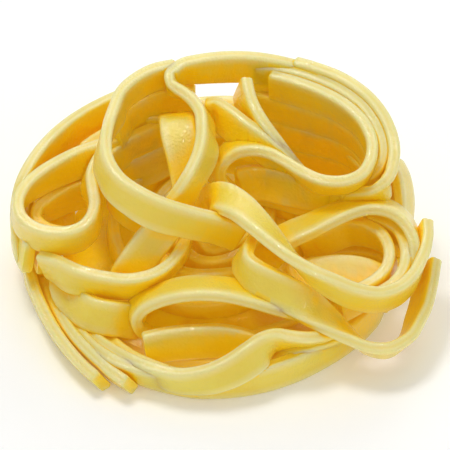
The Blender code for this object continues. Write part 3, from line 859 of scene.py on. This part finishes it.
def noise(tree: Tree, size_mm: float, detail: float) -> Socket:
    """Adds a noise in Object coordinates.

    Args:
        tree: The material's node tree.
        size_mm: About how wide its features are.
        detail: How many finer layers it has.

    Returns:
        The noise's values.
    """
    spot = add_node(tree, "TexCoord", {}).outputs["Object"]
    settings = {"Scale": 1.0 / (size_mm * MM), "Detail": detail}
    return add_node(tree, "TexNoise", settings, Vector=spot).outputs["Fac"]


def ramp(tree: Tree, source: Socket, span: Span, to: Span, shape: str = "SMOOTHSTEP") -> Socket:
    """Adds a node that turns one span of values into another.

    Args:
        tree: The material's node tree.
        source: The values.
        span: The two values that the ramp starts and ends at.
        to: What it turns them into.
        shape: How it goes from the one to the other.

    Returns:
        The new values.
    """
    settings = {"interpolation_type": shape, "From Min": span[0], "From Max": span[1]}
    settings.update({"To Min": to[0], "To Max": to[1]})
    return add_node(tree, "MapRange", settings, Value=source).outputs["Result"]


@dataclass(frozen=True)
class EggPasta:
    """Egg and durum dough, rolled and cut to ribbons, moist: waxy, see-through at the rims, wet gloss.

    The dough lets light in for a millimetre or two. On top of that the colour is painted: the rims get a
    painted highlight, a paler band, and the folds between ribbons get painted shade, golden and in the
    deepest of them a deeper orange. The painted shade sets in over these spans of shelter, where a faint
    painted glow also stands for light that has come through other ribbons, and little of the rims' painted
    highlight is left. Rollers leave faint streaks along the dough, semolina grains a fine pebbling that
    glints, and drying soft waves.
    Each noise is given by its size in millimetres and its detail, each relief by its strength and its
    depth in millimetres.
    """

    face: str = "F3E05C"
    face_warm: str = "F2D742"
    # Painted shade: golden and deeper orange colours painted into the folds by shelter.
    painted_shade_gold: str = "F8D00C"
    painted_shade_amber: str = "EEB008"
    # Painted highlight: the paler colour painted on the rims' band, which fades where shelter grows.
    rim: str = "F5E69C"
    rim_highlight_left: float = 0.15
    painted_shade_span: Span = (0.2, 0.62)
    painted_deep_shade_span: Span = (0.7, 0.98)
    # Painted glow: emission in the sheltered folds, standing in for light come through other ribbons.
    through: str = "FFE022"
    painted_glow_strength: float = 0.09
    scatter: float = 0.6
    scatter_radius_mm: tuple[float, float, float] = (2.2, 1.6, 0.6)
    ior: float = 1.47
    specular: float = 0.35
    roughness: Span = (0.28, 0.44)
    wet_span: Span = (0.3, 0.7)
    coat: float = 0.6
    coat_roughness: float = 0.08
    patches: Span = (7.0, 3.0)
    wet_spots: Span = (3.0, 2.0)
    waves: Span = (4.5, 1.0)
    grains: Span = (0.45, 3.0)
    streak_scale: tuple[float, float, float] = (0.8, 20.0, 1.0)
    wave_relief: Span = (0.25, 0.5)
    streak_relief: Span = (0.25, 0.08)
    grain_relief: Span = (1.0, 0.15)

    def build(self) -> bpy.types.Material:
        """Builds the shader.

        Returns:
            The pasta material, patterned in Object coordinates and along the ribbons' own UV map.
        """
        material = bpy.data.materials.new("moist_egg_pasta")
        material.use_nodes = True
        tree = material.node_tree
        shader = tree.nodes["Principled BSDF"]
        shelter = add_node(tree, "Attribute", {"attribute_name": "shelter"}).outputs["Fac"]
        wetness = noise(tree, *self.wet_spots)
        relief = self.relief(tree)
        # The base colour holds painted shade and a painted rim highlight, the emission a painted glow.
        for name, source in (
            ("Base Color", self.colour(tree, shelter)),
            ("Emission Strength", ramp(tree, shelter, self.painted_shade_span, (0.0, self.painted_glow_strength))),
            ("Roughness", ramp(tree, wetness, self.wet_span, self.roughness, "LINEAR")),
            ("Normal", relief),
            ("Coat Normal", relief),
        ):
            tree.links.new(source, shader.inputs[name])
        for name, value in (
            ("Emission Color", linear(self.through)),
            ("Subsurface Weight", self.scatter),
            ("Subsurface Radius", self.scatter_radius_mm),
            ("Subsurface Scale", MM),
            ("IOR", self.ior),
            ("Specular IOR Level", self.specular),
            ("Coat Weight", self.coat),
            ("Coat Roughness", self.coat_roughness),
        ):
            shader.inputs[name].default_value = value
        return material

    def colour(self, tree: Tree, shelter: Socket) -> Socket:
        """Adds the colours of face, painted fold shade and painted rim highlight, one over the other.

        Args:
            tree: The material's node tree.
            shelter: How shut in each point is.

        Returns:
            The colour to shade with.
        """
        # Mixes painted shade into the folds and a painted highlight onto the rim band, faded out by
        # shelter.
        highlight_band = add_node(tree, "Attribute", {"attribute_name": "rim"}).outputs["Fac"]
        highlight_fade = ramp(tree, shelter, self.painted_shade_span, (1.0, self.rim_highlight_left))
        rim_highlight_share = add_node(tree, "Math", {"operation": "MULTIPLY"}, in_0=highlight_band, in_1=highlight_fade)
        mixed = linear(self.face)
        for share, over in (
            (noise(tree, *self.patches), self.face_warm),
            (ramp(tree, shelter, self.painted_shade_span, (0.0, 1.0)), self.painted_shade_gold),
            (ramp(tree, shelter, self.painted_deep_shade_span, (0.0, 1.0)), self.painted_shade_amber),
            (rim_highlight_share.outputs[0], self.rim),
        ):
            mix = add_node(tree, "Mix", {"data_type": "RGBA"}, in_0=share, in_6=mixed, in_7=linear(over))
            mixed = mix.outputs[2]
        return mixed

    def relief(self, tree: Tree) -> Socket:
        """Adds the soft waves, the roller streaks and the grain pebbling.

        Args:
            tree: The material's node tree.

        Returns:
            The normal to shade with.
        """
        along = add_node(tree, "TexCoord", {}).outputs["UV"]
        stretch = add_node(tree, "Mapping", {"Scale": self.streak_scale}, Vector=along).outputs["Vector"]
        streaks = add_node(tree, "TexNoise", {"Scale": 1.0, "Detail": 2.0}, Vector=stretch).outputs["Fac"]
        under: dict[str, Socket] = {}
        for pattern, (strength, depth) in (
            (noise(tree, *self.waves), self.wave_relief),
            (streaks, self.streak_relief),
            (noise(tree, *self.grains), self.grain_relief),
        ):
            settings = {"Strength": strength, "Distance": depth * MM}
            under["Normal"] = add_node(tree, "Bump", settings, Height=pattern, **under).outputs["Normal"]
        return under["Normal"]


@dataclass(frozen=True)
class TableSheet:
    """The plain white matt sheet that the nest is shown on, lit a little from below as for a cut-out."""

    colour: str = "FCFCFB"
    roughness: float = 0.8
    lit: float = 0.12

    def build(self) -> bpy.types.Material:
        """Returns the sheet's material."""
        material = bpy.data.materials.new("white_matt_sheet")
        material.use_nodes = True
        shader = material.node_tree.nodes["Principled BSDF"]
        shader.inputs["Base Color"].default_value = linear(self.colour)
        shader.inputs["Roughness"].default_value = self.roughness
        shader.inputs["Emission Color"].default_value = linear(WHITE)
        shader.inputs["Emission Strength"].default_value = self.lit
        return material


# The nest


@dataclass
class PastaNest:
    """The nest: the ribbons that show, the turns hidden behind and under them, and the mound inside.

    Inner turns stand in tiers, one for each top, and each tier leaves out one more of the wide radii.
    Mound levels are heights and radii.
    """

    maker: RibbonMaker
    material: bpy.types.Material
    seed: int = 43
    seen_step: float = 0.62
    hidden_step: float = 1.4
    inner_radii: tuple[float, ...] = (5.0, 9.0, 13.0, 17.0, 21.0)
    inner_tops: tuple[float, ...] = (6.2, 9.4, 11.4)
    inner_middle: float = -1.0
    middle_shift: float = 1.0
    radius_shift: float = 0.6
    turn_degrees: Span = (300.0, 345.0)
    lean_degrees: Span = (-6.0, 14.0)
    mound_levels: tuple[Span, ...] = (
        (0.4, 25.5), (3.5, 26.5), (5.8, 23.0), (7.6, 16.0), (8.4, 8.0),
    )
    mound_sides: int = 48
    mound_crease: float = 60.0

    def build(self) -> list[Piece]:
        """Builds every piece and hands it to the frame.

        Returns:
            The finished pieces.
        """
        pieces = [self.seen_ribbons(), self.hidden_turns(), self.inner_turns(), self.mound()]
        # The shelter measure drives the pasta's painted shade, painted glow and the fading of its painted
        # rim highlight.
        ShelterMarker().mark(pieces)
        for piece in pieces:
            self.dress(piece)
        return pieces

    def join(self, name: str, ribbons: list[Piece]) -> Piece:
        """Joins ribbons into one piece.

        Args:
            name: Name of the piece.
            ribbons: The meshes to join.

        Returns:
            The joined piece.
        """
        deselect_all()
        for ribbon in ribbons:
            ribbon.select_set(True)
        bpy.context.view_layer.objects.active = ribbons[0]
        bpy.ops.object.join()
        piece = bpy.context.object
        piece.name = name
        piece.data.name = name
        return piece

    def seen_ribbons(self) -> Piece:
        """Makes the ribbons that show."""
        made = [
            self.maker.sweep(ribbon.name, ribbon.route(self.seen_step))
            for ribbon in (*SEEN_RIBBONS, *LOWER_TURNS)
        ]
        return self.join("pasta_ribbons", made)

    def hidden_turns(self) -> Piece:
        """Makes the turns at the back and under the nest."""
        draw = random.Random(self.seed)
        made = [self.maker.sweep(turn.name, turn.route(self.hidden_step, draw)) for turn in HIDDEN_TURNS]
        return self.join("pasta_back_turns", made)

    def inner_turns(self) -> Piece:
        """Makes the coils that fill the nest, lower towards its rim."""
        draw = random.Random(self.seed + 1)
        made = []
        for tier, top in enumerate(self.inner_tops):
            for number, radius in enumerate(self.inner_radii[: len(self.inner_radii) - tier]):
                start = draw.uniform(0.0, 360.0)
                turn = HiddenTurn(
                    f"inner_{tier}_{number}",
                    top,
                    top,
                    radius + draw.uniform(-self.radius_shift, self.radius_shift),
                    radius + draw.uniform(-self.radius_shift, self.radius_shift),
                    self.inner_middle + draw.uniform(-self.middle_shift, self.middle_shift),
                    self.inner_middle + draw.uniform(-self.middle_shift, self.middle_shift),
                    start,
                    start + draw.uniform(*self.turn_degrees),
                    draw.uniform(*self.lean_degrees),
                )
                made.append(self.maker.sweep(turn.name, turn.route(self.hidden_step, draw)))
        return self.join("pasta_inner_turns", made)

    def mound(self) -> Piece:
        """Makes the pressed-together dough in the middle of the nest, which closes it from below.

        Returns:
            A low mound of stacked rings, drawn in towards its top.
        """
        deselect_all()
        centre = VIEW.to_frame(np.array([self.inner_middle, self.inner_middle, 0.0])) * MM
        levels = self.mound_levels
        bpy.ops.mesh.primitive_circle_add(
            vertices=self.mound_sides,
            radius=levels[0][1] * MM,
            fill_type="NGON",
            location=(centre[0], centre[1], levels[0][0] * MM),
        )
        mound = bpy.context.object
        mound.name = "pasta_mound"
        enter("EDIT")
        bpy.ops.mesh.select_all(action="SELECT")
        for (low, wide), (high, narrow) in zip(levels, levels[1:]):
            bpy.ops.mesh.extrude_region_move(
                TRANSFORM_OT_translate={"value": (0.0, 0.0, (high - low) * MM)}
            )
            share = narrow / wide
            bpy.ops.transform.resize(
                value=(share, share, 1.0), center_override=(centre[0], centre[1], high * MM)
            )
        bpy.ops.mesh.select_all(action="SELECT")
        bpy.ops.mesh.normals_make_consistent(inside=False)
        enter("OBJECT")
        bpy.ops.object.transform_apply(location=True)
        bpy.ops.object.shade_smooth_by_angle(angle=math.radians(self.mound_crease))
        return mound

    def dress(self, piece: Piece) -> None:
        """Gives a piece its finish, hangs it from the frame's root body and hides the frame's node it
        stands in for.
        """
        piece.data.materials.clear()
        piece.data.materials.append(self.material)
        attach(piece, "root")
        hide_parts(NODE)
        LOG.info("%s: %d faces", piece.name, len(piece.data.polygons))


# Studio


@dataclass(frozen=True)
class SoftLamp:
    """A square soft lamp that faces the nest, with its place and side in metres and its power in watts.

    One with only_gloss shows in the wet gloss alone.
    """

    name: str
    spot: tuple[float, float, float]
    span: float
    power: float
    only_gloss: bool = False

    def build(self) -> None:
        """Adds the lamp to the scene."""
        lamp = bpy.data.lights.new(self.name, "AREA")
        lamp.shape = "SQUARE"
        lamp.size = self.span
        lamp.energy = self.power
        holder = bpy.data.objects.new(self.name, lamp)
        holder.visible_diffuse = not self.only_gloss
        holder.visible_transmission = not self.only_gloss
        holder.location = self.spot
        holder.rotation_euler = (-Vector(self.spot)).to_track_quat("-Z", "Y").to_euler()
        bpy.context.scene.collection.objects.link(holder)


@dataclass(frozen=True)
class Studio:
    """The sheet, the soft lights and the camera, set as the photograph was taken.

    The origin pixel is where the photograph shows the point that the waypoints are measured from.
    """

    sheet_span: float = 3.0
    sky_strength: float = 0.5
    distance: float = 2.6
    farthest: float = 20.0
    sensor_mm: float = 36.0
    mm_per_pixel: float = 0.17
    image_pixels: int = 450
    origin_pixel: Span = (225.0, 266.0)
    lamps: tuple[SoftLamp, ...] = (
        SoftLamp("key_softbox", (-0.2, 0.1, 0.8), 0.22, 2.2),
        SoftLamp("fill_softbox", (0.55, -0.55, 0.45), 0.5, 0.7),
        SoftLamp("back_softbox", (0.15, 0.6, 0.4), 0.4, 0.9),
        SoftLamp("sparkle_lamp_0", (0.06, 0.05, 0.7), 0.06, 0.8, only_gloss=True),
        SoftLamp("sparkle_lamp_1", (-0.28, -0.2, 0.6), 0.06, 0.8, only_gloss=True),
        SoftLamp("sparkle_lamp_2", (0.26, -0.25, 0.6), 0.06, 0.8, only_gloss=True),
        SoftLamp("sparkle_lamp_3", (-0.05, 0.4, 0.55), 0.06, 0.8, only_gloss=True),
    )

    def build(self) -> None:
        """Sets up the sheet, the lights and the camera."""
        self.sheet()
        self.sky()
        for lamp in self.lamps:
            lamp.build()
        self.camera()

    def sheet(self) -> None:
        """Lays the white sheet, and puts it on the stage."""
        deselect_all()
        bpy.ops.mesh.primitive_plane_add(size=self.sheet_span, location=(0.0, 0.0, 0.0))
        sheet = bpy.context.object
        sheet.name = "table_sheet"
        sheet.data.materials.append(TableSheet().build())

    def sky(self) -> None:
        """Gives an even white surround, and shows colours as they are."""
        bpy.context.scene.view_settings.view_transform = "Standard"
        world = bpy.data.worlds.new("white_surround")
        bpy.context.scene.world = world
        world.use_nodes = True
        backdrop = world.node_tree.nodes["Background"]
        backdrop.inputs["Color"].default_value = linear(WHITE)
        backdrop.inputs["Strength"].default_value = self.sky_strength

    def camera(self) -> None:
        """Sets a long lens on the nest, at the photograph's angle and framing."""
        lens = bpy.data.cameras.new("front_camera")
        lens.sensor_width = self.sensor_mm
        across = self.image_pixels * self.mm_per_pixel * MM
        lens.lens = lens.sensor_width * self.distance / across
        lens.clip_end = self.farthest
        holder = bpy.data.objects.new("front_camera", lens)
        start = VIEW.to_frame(np.zeros(3))
        right = (self.image_pixels / 2 - self.origin_pixel[0]) * self.mm_per_pixel
        rise = (self.origin_pixel[1] - self.image_pixels / 2) * self.mm_per_pixel
        aim = (start + VIEW.right * right + VIEW.up * rise) * MM
        holder.location = aim + VIEW.near * self.distance
        holder.rotation_euler = (math.pi / 2 - VIEW.down, 0.0, 0.0)
        bpy.context.scene.collection.objects.link(holder)
        bpy.context.scene.camera = holder


def write_sizes() -> None:
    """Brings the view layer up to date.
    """
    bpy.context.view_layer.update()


def main() -> None:
    """Builds the nest and the studio around it."""
    logging.basicConfig(level=logging.INFO, format="%(message)s")
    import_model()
    maker = RibbonMaker()
    pieces = PastaNest(maker, EggPasta().build()).build()
    maker.finish()
    Studio().build()
    write_sizes()
    LOG.info("pieces: %s", ", ".join(piece.name for piece in pieces))


if __name__ == "__main__":
    main()
